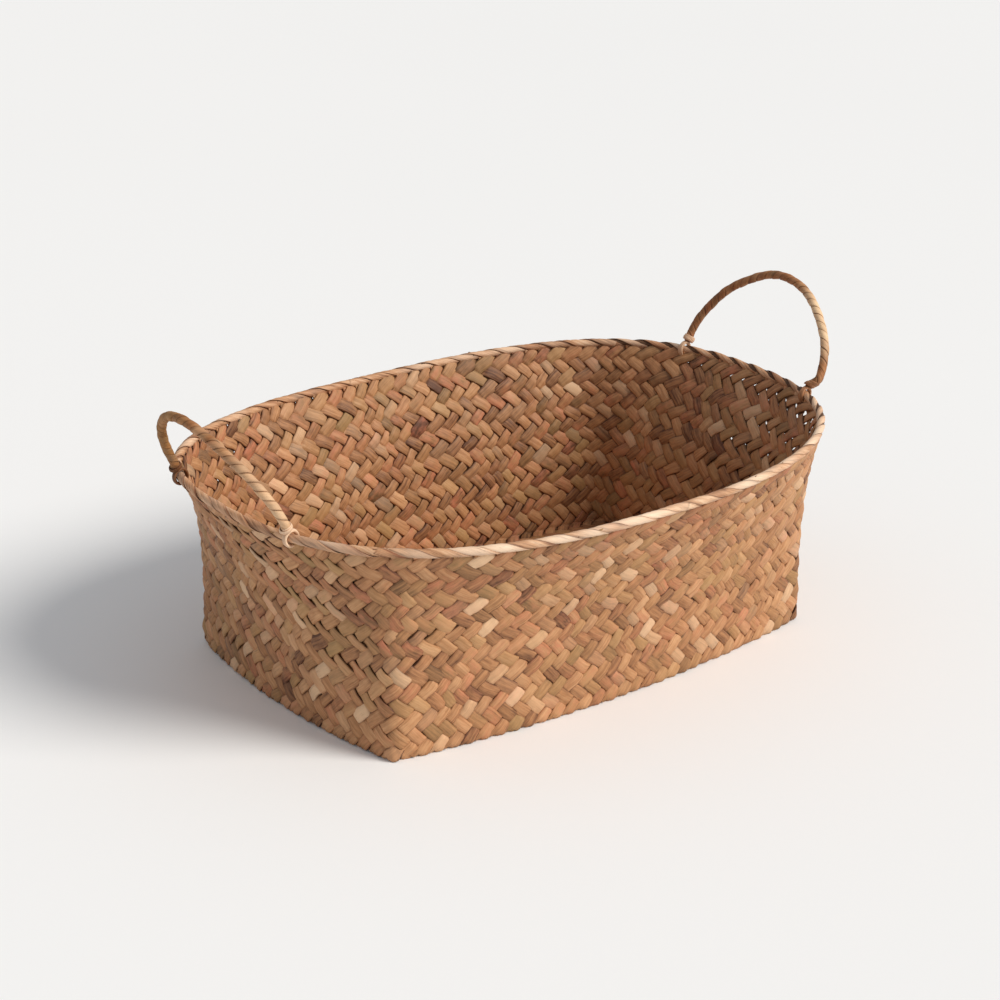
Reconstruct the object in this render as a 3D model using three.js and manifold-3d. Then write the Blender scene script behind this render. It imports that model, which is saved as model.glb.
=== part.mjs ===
// Plaited leaf bread basket with a wrapped rim and two twisted-cord handles.
// Millimetres, +Z up, +X along the long side. Origin: centre of the footprint on the table.
import * as THREE from 'three';
import Module from 'manifold-3d';

const wasm = await Module();
wasm.setup();

// --- base panel ---
const BASE_HALF_LENGTH = 128;      // corner to middle, along X
const BASE_HALF_WIDTH = 78.5;      // corner to middle, along Y
const LONG_EDGE_BULGE = 12;        // how far each long edge bows outward at its middle
const SHORT_EDGE_BULGE = 8.5;      // the same for the short edges
// --- wall ---
const FABRIC_THICKNESS = 2.0;      // two layers of flattened leaf
const RIM_HALF_LENGTH = 166;       // roll centre, along X
const RIM_HALF_WIDTH = 114;        // roll centre, along Y
const RIM_ROUNDNESS = 2.56;        // superellipse exponent of the rim in plan
const BASKET_HEIGHT = 105;         // table to top of roll at the middle of the long sides
const END_LIFT = 4;                // how much higher the rim stands at the two ends
const FLARE_POWER = 2.7;           // walls rise almost straight, then flare near the rim
// --- rim roll ---
const ROLL_RADIUS = 2.4;
const WRAP_INNER_RADIUS = 1.6;
const CORE_RADIUS = 1.3;
const CLEARANCE = 0.3;
const WRAP_COUNT = 6;
// --- handles ---
const HANDLE_FOOT_Y = 45.5;        // half the distance between the two feet
const HANDLE_ARCH_BASE = 7.6;      // height of the widest point above the feet
const HANDLE_ARCH_POWER = 1.85;
// Made by hand, so no two arches are quite alike. Lean is outward from upright; sway moves the
// legs along Y against the top of the arch.
const HANDLES = [
  { label: 'left', end: -1, halfWidth: 45.5, height: 44.4, lean: 28, sway: -2.5 },
  { label: 'right', end: 1, halfWidth: 48, height: 46.6, lean: 30, sway: -2 },
];
const PLY_RADIUS = 1.05;
const PLY_OFFSET = 1.25;
const TWIST_PITCH = 15;
const LOOP_RADIUS = 4.4;           // foot loop around the rim roll
const LOOP_TUBE_RADIUS = 1.2;
const SLIT_TUBE_RADIUS = 1.65;     // slit in the fabric that the foot loop runs through
const COLLAR_OUTER_RADIUS = 3.3;
const COLLAR_INNER_RADIUS = 2.7;
const COLLAR_LENGTH = 3.6;

// Steps round the wall: 30 on each long side, 20 on each short side.
const LONG_STEPS = 30;
const SHORT_STEPS = 20;
const STEPS = 2 * (LONG_STEPS + SHORT_STEPS);
const ROLL_Z = BASKET_HEIGHT - ROLL_RADIUS;

const LEAF = 0xb98a5c;
const PALE_LEAF = 0xcfa277;
const CORD = 0xb07a48;

function mesh(name, geometry, color) {
  const node = new THREE.Mesh(geometry, new THREE.MeshStandardMaterial({ color, roughness: 0.8 }));
  node.name = name;
  return node;
}

function geometryFrom(vertices, faces) {
  const geometry = new THREE.BufferGeometry();
  const flat = vertices.flatMap((v) => [v.x, v.y, v.z]);
  geometry.setAttribute('position', new THREE.Float32BufferAttribute(flat, 3));
  geometry.setIndex(faces.flat());
  geometry.computeVertexNormals();
  return geometry;
}

// Joins rings of points into a tube. Open tubes are capped with a fan; closed ones join end to start.
function tube(rings, closed) {
  const sides = rings[0].length;
  const vertices = rings.flat();
  const faces = [];
  const last = closed ? rings.length : rings.length - 1;
  for (let i = 0; i < last; i += 1) {
    const next = (i + 1) % rings.length;
    for (let j = 0; j < sides; j += 1) {
      const k = (j + 1) % sides;
      faces.push([i * sides + j, next * sides + j, next * sides + k]);
      faces.push([i * sides + j, next * sides + k, i * sides + k]);
    }
  }
  return { vertices, faces, sides, count: rings.length };
}

function capFan(shape, ringIndex, flip) {
  const start = ringIndex * shape.sides;
  for (let j = 1; j < shape.sides - 1; j += 1) {
    const face = [start, start + j, start + j + 1];
    shape.faces.push(flip ? face.reverse() : face);
  }
}

// --- plan curves ---

// Point of the base edge at step s; s = 0 is the front-left corner and s grows counter-clockwise.
function basePoint(s) {
  const a = BASE_HALF_LENGTH;
  const b = BASE_HALF_WIDTH;
  let u = ((s % STEPS) + STEPS) % STEPS;
  const turned = u >= STEPS / 2;
  if (turned) u -= STEPS / 2;
  let point;
  if (u < LONG_STEPS) {
    const f = -1 + (2 * u) / LONG_STEPS;
    point = new THREE.Vector2(a * f, -b - LONG_EDGE_BULGE * (1 - f * f));
  } else {
    const f = -1 + (2 * (u - LONG_STEPS)) / SHORT_STEPS;
    point = new THREE.Vector2(a + SHORT_EDGE_BULGE * (1 - f * f), b * f);
  }
  return turned ? point.negate() : point;
}

function rimPlan(angle) {
  const c = Math.cos(angle);
  const s = Math.sin(angle);
  const e = 2 / RIM_ROUNDNESS;
  return new THREE.Vector2(
    RIM_HALF_LENGTH * Math.sign(c) * Math.abs(c) ** e,
    RIM_HALF_WIDTH * Math.sign(s) * Math.abs(s) ** e,
  );
}

// Rim points at equal arc lengths, starting so that step 15 is the middle of the front.
function rimPointsByArc() {
  const fine = 8000;
  const points = [];
  const lengths = [0];
  for (let i = 0; i <= fine; i += 1) {
    points.push(rimPlan(-Math.PI / 2 + (2 * Math.PI * i) / fine));
    if (i > 0) lengths.push(lengths[i - 1] + points[i].distanceTo(points[i - 1]));
  }
  const total = lengths[fine];
  const result = [];
  let j = 0;
  for (let s = 0; s < STEPS; s += 1) {
    const want = (total * s) / STEPS;
    while (lengths[j + 1] < want) j += 1;
    const f = (want - lengths[j]) / (lengths[j + 1] - lengths[j]);
    result.push(points[j].clone().lerp(points[j + 1], f));
  }
  const shift = LONG_STEPS / 2;
  return result.map((_, s) => result[(s - shift + STEPS) % STEPS]);
}

const RIM = rimPointsByArc();

function rollHeight(x) {
  return ROLL_Z + END_LIFT * (x / RIM_HALF_LENGTH) ** 2;
}

// Middle of the fabric at step s (whole number) and height fraction t (1 = centre of the rim roll).
function wallPoint(s, t) {
  const i = ((s % STEPS) + STEPS) % STEPS;
  const plan = basePoint(i).lerp(RIM[i], Math.max(t, 0) ** FLARE_POWER);
  const lift = rollHeight(RIM[i].x) - ROLL_Z;
  return new THREE.Vector3(plan.x, plan.y, t * (ROLL_Z + lift * t));
}

// Local directions at a wall point: along the rim, down the wall and outward.
function wallFrame(s, t) {
  const along = wallPoint(s + 1, t).sub(wallPoint(s - 1, t)).normalize();
  const down = wallPoint(s, t - 0.01).sub(wallPoint(s, t + 0.01)).normalize();
  const out = new THREE.Vector3().crossVectors(down, along).normalize();
  if (t === 0) out.setZ(0).normalize();
  const trueDown = new THREE.Vector3().crossVectors(along, out).normalize();
  return { along, down: trueDown, out, centre: wallPoint(s, t) };
}

// --- woven shell: base panel and walls, one continuous fabric ---

function wovenShell(slits) {
  const half = FABRIC_THICKNESS / 2;
  const levels = [0, 0.1, 0.2, 0.3, 0.4, 0.5, 0.6, 0.7, 0.8, 0.88, 0.94];
  const rings = [];
  const ringAt = (t, side, drop) => {
    const ring = [];
    for (let s = 0; s < STEPS; s += 1) {
      const f = wallFrame(s, t);
      const corner = t === 0 && [0, LONG_STEPS].includes(s % (STEPS / 2));
      const reach = corner ? half * 1.3 : half;
      ring.push(f.centre.addScaledVector(f.out, side * reach).addScaledVector(f.down, drop));
    }
    return ring;
  };
  const topDrop = CORE_RADIUS + CLEARANCE + 0.05;
  const shrink = (ring, k, z) => ring.map((p) => new THREE.Vector3(p.x * k, p.y * k, z));
  const outer = levels.map((t) => ringAt(t, 1, 0));
  outer.push(ringAt(1, 1, topDrop));
  const inner = levels.map((t) => ringAt(t, -1, 0));
  inner.push(ringAt(1, -1, topDrop));
  inner[0] = inner[0].map((p) => new THREE.Vector3(p.x, p.y, FABRIC_THICKNESS));
  rings.push(shrink(outer[0], 0.5, 0), ...outer, ...inner.reverse());
  rings.push(shrink(inner[inner.length - 1], 0.5, FABRIC_THICKNESS));
  const shape = tube(rings, false);
  for (const [index, z, flip] of [[0, 0, false], [rings.length - 1, FABRIC_THICKNESS, true]]) {
    const centre = shape.vertices.length;
    shape.vertices.push(new THREE.Vector3(0, 0, z));
    for (let j = 0; j < STEPS; j += 1) {
      const face = [centre, index * STEPS + j, index * STEPS + ((j + 1) % STEPS)];
      shape.faces.push(flip ? face.reverse() : face);
    }
  }
  let solid = toManifold(shape.vertices, shape.faces.map((f) => [f[0], f[2], f[1]]));
  if (solid.volume() < 0) solid = toManifold(shape.vertices, shape.faces);
  for (const slit of slits) solid = solid.subtract(slit);
  return fromManifold(solid);
}

function toManifold(vertices, faces) {
  return new wasm.Manifold(new wasm.Mesh({
    numProp: 3,
    vertProperties: new Float32Array(vertices.flatMap((v) => [v.x, v.y, v.z])),
    triVerts: new Uint32Array(faces.flat()),
  }));
}

function fromManifold(solid) {
  const m = solid.getMesh();
  const geometry = new THREE.BufferGeometry();
  geometry.setAttribute('position', new THREE.Float32BufferAttribute(Array.from(m.vertProperties), 3));
  geometry.setIndex(Array.from(m.triVerts));
  geometry.computeVertexNormals();
  return geometry;
}

// Turns the faces round when the body would face inward.
function facingOut(shape) {
  let volume = 0;
  for (const [a, b, c] of shape.faces) {
    volume += shape.vertices[a].dot(new THREE.Vector3().crossVectors(shape.vertices[b], shape.vertices[c]));
  }
  if (volume < 0) shape.faces.forEach((f) => f.reverse());
  return geometryFrom(shape.vertices, shape.faces);
}

// --- rim roll ---

// Frame of the roll between whole steps, mixed from its two neighbours.
function rollFrame(s) {
  const i = Math.floor(s);
  const f = s - i;
  const a = wallFrame(i, 1);
  const b = wallFrame(i + 1, 1);
  return {
    centre: a.centre.lerp(b.centre, f),
    down: a.down.lerp(b.down, f).normalize(),
    out: a.out.lerp(b.out, f).normalize(),
  };
}

function rollPoint(frame, radius, angle) {
  // angle 0 points outward, 90 degrees points up the wall
  return frame.centre.clone()
    .addScaledVector(frame.out, radius * Math.cos(angle))
    .addScaledVector(frame.down, -radius * Math.sin(angle));
}

function rimCore() {
  const sides = 8;
  const rings = [];
  for (let s = 0; s < STEPS; s += 1) {
    const frame = rollFrame(s);
    const ring = [];
    for (let j = 0; j < sides; j += 1) ring.push(rollPoint(frame, CORE_RADIUS, (2 * Math.PI * j) / sides));
    rings.push(ring);
  }
  return facingOut(tube(rings, true));
}

// One length of wrapping leaf: a sleeve over the core, open where the wall enters it.
function rimWrap(from, to) {
  const mouth = FABRIC_THICKNESS / 2 + CLEARANCE;
  const outerGap = Math.asin(mouth / ROLL_RADIUS);
  const innerGap = Math.asin(mouth / WRAP_INNER_RADIUS);
  const arc = 9;
  const section = [];
  for (let j = 0; j < arc; j += 1) {
    const span = 2 * Math.PI - 2 * outerGap;
    section.push([ROLL_RADIUS, -Math.PI / 2 + outerGap + (span * j) / (arc - 1)]);
  }
  for (let j = arc - 1; j >= 0; j -= 1) {
    const span = 2 * Math.PI - 2 * innerGap;
    section.push([WRAP_INNER_RADIUS, -Math.PI / 2 + innerGap + (span * j) / (arc - 1)]);
  }
  const trim = 0.02;
  const steps = [from + trim];
  for (let s = Math.floor(from) + 1; s < to; s += 1) steps.push(s);
  steps.push(to - trim);
  const rings = steps.map((s) => {
    const frame = rollFrame(s);
    return section.map(([radius, angle]) => rollPoint(frame, radius, angle));
  });
  const shape = tube(rings, false);
  // the end faces are strips between the outer and the inner arc
  for (const [index, flip] of [[0, false], [rings.length - 1, true]]) {
    const start = index * shape.sides;
    for (let j = 0; j < arc - 1; j += 1) {
      const o = start + j;
      const i = start + 2 * arc - 1 - j;
      const pair = [[o, o + 1, i - 1], [o, i - 1, i]];
      pair.forEach((face) => shape.faces.push(flip ? face.reverse() : face));
    }
  }
  return facingOut(shape);
}

// --- handles ---

// The hinge line of a handle runs through the roll at its two feet.
function footPoint() {
  const e = RIM_ROUNDNESS;
  const x = RIM_HALF_LENGTH * (1 - (HANDLE_FOOT_Y / RIM_HALF_WIDTH) ** e) ** (1 / e);
  return new THREE.Vector3(x, HANDLE_FOOT_Y, rollHeight(x));
}

const FOOT = footPoint();

// Arch in its own plane: y across, r away from the hinge line. Below its widest point each leg
// curls in towards its foot.
function archPoint(arch, r, side) {
  const top = HANDLE_ARCH_BASE + arch.height;
  const f = Math.max(0, (r - HANDLE_ARCH_BASE) / arch.height);
  const p = HANDLE_ARCH_POWER;
  const curl = Math.max(0, 1 - r / HANDLE_ARCH_BASE) ** 1.5;
  const reach = arch.halfWidth * Math.max(0, 1 - f ** p) ** (1 / p);
  const sway = arch.sway * arch.end * (1 - (r / top) ** 2);
  const leg = side * reach + sway;
  return new THREE.Vector2(leg + (side * HANDLE_FOOT_Y - leg) * curl, r);
}

function archLine(arch, start) {
  const fine = 400;
  const rise = HANDLE_ARCH_BASE + arch.height - start;
  const leg = (side) => Array.from({ length: fine + 1 }, (_, i) => (
    archPoint(arch, start + rise * Math.sin((Math.PI / 2) * (i / fine)), side)
  ));
  return [...leg(1), ...leg(-1).slice(0, -1).reverse()];
}

// Evenly spaced points along a planar line.
function resample(points, count) {
  const lengths = [0];
  for (let i = 1; i < points.length; i += 1) lengths.push(lengths[i - 1] + points[i].distanceTo(points[i - 1]));
  const total = lengths[lengths.length - 1];
  const result = [];
  let j = 0;
  for (let k = 0; k < count; k += 1) {
    const want = (total * k) / (count - 1);
    while (j < points.length - 2 && lengths[j + 1] < want) j += 1;
    const f = (want - lengths[j]) / (lengths[j + 1] - lengths[j]);
    result.push(points[j].clone().lerp(points[j + 1], f));
  }
  return { points: result, total };
}

// From the arch's plane to the basket: lean outward about the hinge line, at the right-hand end.
function placeArch(arch, y, r, offset) {
  const lean = THREE.MathUtils.degToRad(arch.lean);
  const x = FOOT.x + r * Math.sin(lean) + offset * Math.cos(lean);
  const z = FOOT.z + r * Math.cos(lean) - offset * Math.sin(lean);
  return new THREE.Vector3(x, y, z);
}

function cordPly(arch, phase) {
  const start = LOOP_RADIUS + LOOP_TUBE_RADIUS + CLEARANCE;
  const count = 91;
  const sides = 8;
  const line = resample(archLine(arch, start), count);
  const rings = line.points.map((p, k) => {
    const a = line.points[Math.max(0, k - 1)];
    const b = line.points[Math.min(count - 1, k + 1)];
    const tangent = b.clone().sub(a).normalize();
    const normal = new THREE.Vector2(tangent.y, -tangent.x);
    const turn = phase + (2 * Math.PI * line.total * k) / ((count - 1) * TWIST_PITCH);
    const ring = [];
    for (let j = 0; j < sides; j += 1) {
      const angle = turn + (2 * Math.PI * j) / sides;
      const inPlane = PLY_OFFSET * Math.cos(turn) + PLY_RADIUS * Math.cos(angle);
      const across = PLY_OFFSET * Math.sin(turn) + PLY_RADIUS * Math.sin(angle);
      ring.push(placeArch(arch, p.x + normal.x * inPlane, p.y + normal.y * inPlane, across));
    }
    return ring;
  });
  const shape = tube(rings, false);
  capFan(shape, 0, false);
  capFan(shape, count - 1, true);
  return facingOut(shape);
}

function loopRings(y, tubeRadius, segments, sides) {
  const rings = [];
  for (let i = 0; i < segments; i += 1) {
    const angle = (2 * Math.PI * i) / segments;
    const ring = [];
    for (let j = 0; j < sides; j += 1) {
      const around = (2 * Math.PI * j) / sides;
      const radius = LOOP_RADIUS + tubeRadius * Math.cos(around);
      ring.push(new THREE.Vector3(
        FOOT.x + radius * Math.sin(angle),
        y + tubeRadius * Math.sin(around),
        FOOT.z + radius * Math.cos(angle),
      ));
    }
    rings.push(ring);
  }
  return tube(rings, true);
}

function footLoop(side) {
  return facingOut(loopRings(side * HANDLE_FOOT_Y, LOOP_TUBE_RADIUS, 20, 8));
}

function slitCutter(side, end) {
  const shape = loopRings(side * HANDLE_FOOT_Y, SLIT_TUBE_RADIUS, 20, 8);
  const vertices = end < 0 ? shape.vertices.map((v) => new THREE.Vector3(-v.x, -v.y, v.z)) : shape.vertices;
  let solid = toManifold(vertices, shape.faces);
  if (solid.volume() < 0) solid = toManifold(vertices, shape.faces.map((f) => [f[0], f[2], f[1]]));
  return solid;
}

// Short sleeve of leaf bound round the cord where it meets its foot loop.
function footCollar(arch, side) {
  const start = LOOP_RADIUS + LOOP_TUBE_RADIUS + 0.1;
  const sides = 16;
  const rings = [];
  const profile = [
    [COLLAR_INNER_RADIUS, start],
    [COLLAR_OUTER_RADIUS, start],
    [COLLAR_OUTER_RADIUS, start + COLLAR_LENGTH],
    [COLLAR_INNER_RADIUS, start + COLLAR_LENGTH],
  ];
  for (let i = 0; i < sides; i += 1) {
    const angle = (2 * Math.PI * i) / sides;
    rings.push(profile.map(([radius, r]) => {
      const y = archPoint(arch, r, side).x + radius * Math.cos(angle);
      return placeArch(arch, y, r, radius * Math.sin(angle));
    }));
  }
  return facingOut(tube(rings, true));
}

// Both handles are drawn at the right-hand end; the left one is then turned half a turn about Z.
function handle(group, arch) {
  const { label, end } = arch;
  const parts = [
    ['ply_a', cordPly(arch, 0), CORD],
    ['ply_b', cordPly(arch, Math.PI), CORD],
    ['front_loop', footLoop(-end), PALE_LEAF],
    ['rear_loop', footLoop(end), PALE_LEAF],
    ['front_collar', footCollar(arch, -end), PALE_LEAF],
    ['rear_collar', footCollar(arch, end), PALE_LEAF],
  ];
  for (const [name, geometry, color] of parts) {
    if (end < 0) geometry.rotateZ(Math.PI);
    group.add(mesh(`${label}_handle_${name}`, geometry, color));
  }
}

const basket = new THREE.Group();
basket.name = 'bread_basket';
const slits = [slitCutter(1, 1), slitCutter(-1, 1), slitCutter(1, -1), slitCutter(-1, -1)];
basket.add(mesh('woven_shell', wovenShell(slits), LEAF));
basket.add(mesh('rim_core_hoop', rimCore(), LEAF));
for (let i = 0; i < WRAP_COUNT; i += 1) {
  const from = (STEPS * i) / WRAP_COUNT;
  const to = (STEPS * (i + 1)) / WRAP_COUNT;
  basket.add(mesh(`rim_wrap_${i + 1}`, rimWrap(from, to), PALE_LEAF));
}
HANDLES.forEach((arch) => handle(basket, arch));

export default basket;
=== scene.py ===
"""Looks of the plaited bread basket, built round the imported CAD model. Metres, +Z up."""
import math

import bpy
import numpy as np
from mathutils import Matrix, Vector


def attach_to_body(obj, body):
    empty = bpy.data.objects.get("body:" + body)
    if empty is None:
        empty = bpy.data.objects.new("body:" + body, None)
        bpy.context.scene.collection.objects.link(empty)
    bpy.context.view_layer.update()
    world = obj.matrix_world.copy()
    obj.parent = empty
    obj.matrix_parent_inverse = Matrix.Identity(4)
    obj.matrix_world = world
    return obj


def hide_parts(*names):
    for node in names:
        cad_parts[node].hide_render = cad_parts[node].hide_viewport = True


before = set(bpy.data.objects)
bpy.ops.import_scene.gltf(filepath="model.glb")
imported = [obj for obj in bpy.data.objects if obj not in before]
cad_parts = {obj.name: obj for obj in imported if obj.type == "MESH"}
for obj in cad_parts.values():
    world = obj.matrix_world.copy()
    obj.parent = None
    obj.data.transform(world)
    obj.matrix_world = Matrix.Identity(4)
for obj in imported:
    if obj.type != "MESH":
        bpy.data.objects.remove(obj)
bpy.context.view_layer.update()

MM = 0.001
RNG = np.random.default_rng(20471)

# ---------------------------------------------------------------- sizes, in millimetres
BASE_HALF_LENGTH = 128.6
BASE_HALF_WIDTH = 79.1
LONG_EDGE_BULGE = 12.0
SHORT_EDGE_BULGE = 8.5
RIM_HALF_LENGTH = 166.0
RIM_HALF_WIDTH = 114.0
RIM_ROUNDNESS = 2.56
END_LIFT = 4.0
FLARE_POWER = 2.7
CORNER_SOFTNESS = 2.3
CORNER_SOFTNESS_LOW = 0.3
ROLL_RADIUS = 2.4
ROLL_Z = 105.0 - ROLL_RADIUS
FABRIC_MIDDLE = 1.5             # height of the floor's middle surface

LONG_STEPS = 32                 # plait steps on a long side
SHORT_STEPS = 20                # plait steps on a short side
STEPS = 2 * (LONG_STEPS + SHORT_STEPS)
LEVELS = 30                     # crossings from the base edge to the rim, two per step
LEVEL_CROWDING = 0.12           # crossings lie closer together towards the rim
STRIP_SPACING = 5.4             # between neighbouring strips, square to them
STRIP_FULLNESS = 1.21           # strip width over that spacing: neighbours overlap a little
STRIP_THICKNESS = 1.0
FLOAT_HEIGHT = 0.68             # a crossing strip's middle, off the fabric's middle surface
FULL_TURN = 0.62                # from this height a strip counts as fully outside or inside
FLOOR_FLATNESS = 0.78           # the floor is pressed flatter than the walls
FLOAT_BULGE = 0.34              # extra rise in the middle of each float
FLOAT_CAMBER = 0.30             # rise of a strip's middle over its edges
CROSSOVER = 0.44                # share of a step in which a strip changes side
STRIP_TILT = 0.10               # each strip lies a little roof-tiled over its neighbour
STRIP_GROUPS = 10               # meshes that the strips are shared out between
EDGE_BEND = 2.0                 # a strip turns from floor to wall over this much either side
OPEN_END_X = 112.0              # the plait opens beyond this, towards the right-hand end
INNER_SIDE_SHADE = 0.085           # painted shade: the side of the leaf turned inward is darkened, standing in for the shade inside the basket

CORE_RADIUS = 1.72              # the bundle inside the rim wrapping
CORE_LUMPS = 0.16
RIBBON_LENGTHS = 6              # the rim is wrapped in this many lengths
RIBBON_STARTS = 2               # leaves wound side by side
RIBBON_TURNS = 33               # whole turns of each leaf round the full rim
RIBBON_RADIUS = 1.98
RIBBON_HALF_WIDTH = 3.25
RIBBON_HALF_THICKNESS = 0.2

FOOT_Y = 45.5
FOOT_X = RIM_HALF_LENGTH * (1 - (FOOT_Y / RIM_HALF_WIDTH) ** RIM_ROUNDNESS) ** (1 / RIM_ROUNDNESS)
FOOT_Z = ROLL_Z + END_LIFT * (FOOT_X / RIM_HALF_LENGTH) ** 2
ARCH_BASE = 7.6                 # height of the widest point above the feet
ARCH_POWER = 1.85
CURL_TOP = 10.5                 # the legs bend in to their feet between these distances
CURL_END = 4.2
ARCHES = {
    "left": {
        "end": -1, "half_width": 45.5, "height": 44.4, "lean": math.radians(28), "sway": -2.5,
    },
    "right": {
        "end": 1, "half_width": 48.0, "height": 46.6, "lean": math.radians(30), "sway": -2.0,
    },
}
CORD_RADIUS = 2.25
CORD_START = 4.6                # from the hinge line
CORD_WANDER = 0.30              # how far the cord strays from a true arch
TWIST_PITCH = 10.5
EYE_RADIUS = 3.65               # leaf eye round the roll at each foot
EYE_THICKNESS = 1.6
EYE_WIDTH = 3.2
BINDING_START = 5.2             # lowest turn of the foot binding, from the hinge line
BINDING_RISE = 2.0
BINDING_TURNS = 2.2
BINDING_RADIUS = 2.15
BINDING_SWELL = 0.80            # it is this much fatter half-way up
BINDING_HALF_WIDTH = 1.1        # of the leaf it is wound from
BINDING_HALF_THICKNESS = 0.35

# the photograph's camera, in degrees and metres, and the stage
CAMERA_AZIMUTH, CAMERA_ELEVATION, CAMERA_TILT = -39.28, 22.15, 1.19
CAMERA_DISTANCE = 1.220
CAMERA_AIM = (0.0293, 0.0419, 0.050)
SENSOR_WIDTH = 36.0
FOCAL_LENGTH = 2.3497 * SENSOR_WIDTH
FLOOR_HALF_SIZE = 6.0


# ---------------------------------------------------------------- small helpers
def unit(v):
    return v / np.maximum(np.linalg.norm(v, axis=-1, keepdims=True), 1e-9)


def smooth(x):
    x = np.clip(x, 0.0, 1.0)
    return x * x * (3 - 2 * x)


def mesh_object(name, vertices, faces, attributes, material):
    """A smooth-shaded mesh from arrays: vertices in mm, quads, and per-vertex attributes."""
    mesh = bpy.data.meshes.new(name)
    faces = np.asarray(faces, dtype=np.int32)
    mesh.vertices.add(len(vertices))
    mesh.vertices.foreach_set("co", (np.asarray(vertices) * MM).astype(np.float32).ravel())
    mesh.loops.add(faces.size)
    mesh.loops.foreach_set("vertex_index", faces.ravel())
    mesh.polygons.add(len(faces))
    starts = np.arange(0, faces.size, faces.shape[1], dtype=np.int32)
    mesh.polygons.foreach_set("loop_start", starts)
    mesh.update(calc_edges=True)
    mesh.validate()
    for key, values in attributes.items():
        if values.ndim == 2 and values.shape[1] == 4:
            layer = mesh.attributes.new(key, "FLOAT_COLOR", "POINT")
            layer.data.foreach_set("color", values.astype(np.float32).ravel())
        else:
            layer = mesh.attributes.new(key, "FLOAT_VECTOR", "POINT")
            layer.data.foreach_set("vector", values.astype(np.float32).ravel())
    mesh.shade_smooth()
    obj = bpy.data.objects.new(name, mesh)
    bpy.context.scene.collection.objects.link(obj)
    obj.data.materials.append(material)
    return obj


def tube_faces(rings, sides, closed, start=0):
    """Quads joining rings of points into a tube."""
    i = np.arange(rings if closed else rings - 1)
    j = np.arange(sides)
    ii, jj = np.meshgrid(i, j, indexing="ij")
    nxt = (ii + 1) % rings
    k = (jj + 1) % sides
    quads = np.stack([ii * sides + jj, nxt * sides + jj, nxt * sides + k, ii * sides + k], -1)
    return quads.reshape(-1, 4) + start


class Batch:
    """Collects several tubes into one mesh."""

    def __init__(self):
        self.vertices = []
        self.faces = []
        self.fibre = []
        self.leaf = []
        self.count = 0

    def add_tube(self, rings, fibre, leaf, closed=False):
        """rings: (n, sides, 3); fibre: (n, sides, 3); leaf: (n, sides, 4)."""
        n, sides = rings.shape[:2]
        self.faces.append(tube_faces(n, sides, closed, self.count))
        if not closed:
            for end, flip in ((0, False), (n - 1, True)):
                self.cap(end * sides + self.count, sides, flip)
        self.vertices.append(rings.reshape(-1, 3))
        self.fibre.append(fibre.reshape(-1, 3))
        self.leaf.append(leaf.reshape(-1, 4))
        self.count += n * sides

    def cap(self, start, sides, flip):
        """Closes a tube's end with quads across it."""
        half = sides // 2
        quads = []
        for j in range(half - 1):
            quad = [start + j, start + j + 1, start + sides - 2 - j, start + sides - 1 - j]
            quads.append(quad[::-1] if flip else quad)
        self.faces.append(np.array(quads))

    def build(self, name, material):
        attributes = {
            "fibre": np.concatenate(self.fibre),
            "leaf": np.concatenate(self.leaf),
        }
        return mesh_object(
            name, np.concatenate(self.vertices), np.concatenate(self.faces), attributes, material
        )


# ---------------------------------------------------------------- the basket's surface
def base_point(s):
    """Base edge at plait step s, counted from the front left corner along the front."""
    u = np.mod(s, STEPS)
    turned = u >= STEPS / 2
    u = np.where(turned, u - STEPS / 2, u)
    f = -1 + 2 * u / LONG_STEPS
    g = -1 + 2 * (u - LONG_STEPS) / SHORT_STEPS
    on_long = u < LONG_STEPS
    x = np.where(on_long, BASE_HALF_LENGTH * f, BASE_HALF_LENGTH + SHORT_EDGE_BULGE * (1 - g * g))
    y = np.where(on_long, -BASE_HALF_WIDTH - LONG_EDGE_BULGE * (1 - f * f), BASE_HALF_WIDTH * g)
    sign = np.where(turned, -1.0, 1.0)
    return x * sign, y * sign


def soft_base_point(s, t):
    """The base edge with its corners rounded, more so the higher t is."""
    reach = CORNER_SOFTNESS_LOW + CORNER_SOFTNESS * np.clip(t, 0, None)
    samples = 8
    x = 0.0
    y = 0.0
    for i in range(samples):
        px, py = base_point(s + reach * (-1 + 2 * (i + 0.5) / samples))
        x = x + px / samples
        y = y + py / samples
    return x, y


def rim_table():
    """The rim's superellipse with its arc length as a fraction, and the whole length."""
    angle = np.linspace(-math.pi / 2, 1.5 * math.pi, 8001)
    c, s = np.cos(angle), np.sin(angle)
    e = 2 / RIM_ROUNDNESS
    x = RIM_HALF_LENGTH * np.sign(c) * np.abs(c) ** e
    y = RIM_HALF_WIDTH * np.sign(s) * np.abs(s) ** e
    length = np.concatenate([[0], np.cumsum(np.hypot(np.diff(x), np.diff(y)))])
    return x, y, length / length[-1], length[-1]


RIM_X, RIM_Y, RIM_ARC, RIM_LENGTH = rim_table()
STEP_LENGTH = RIM_LENGTH / STEPS
RIBBON_PITCH = RIM_LENGTH / RIBBON_TURNS
RIBBON_ANGLE = math.atan2(2 * math.pi * RIBBON_RADIUS, RIBBON_PITCH)


def rim_point(s):
    f = np.mod((s - LONG_STEPS / 2) / STEPS, 1.0)
    return np.interp(f, RIM_ARC, RIM_X), np.interp(f, RIM_ARC, RIM_Y)


def wall(s, t):
    """Middle of the fabric at step s and height fraction t."""
    bx, by = soft_base_point(s, t)
    rx, ry = rim_point(s)
    w = np.clip(t, 0, None) ** FLARE_POWER
    x = bx + (rx - bx) * w
    y = by + (ry - by) * w
    lift = END_LIFT * (rx / RIM_HALF_LENGTH) ** 2
    z = FABRIC_MIDDLE + t * (ROLL_Z - FABRIC_MIDDLE + lift * t)
    return np.stack([x, y, z], -1)


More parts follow.
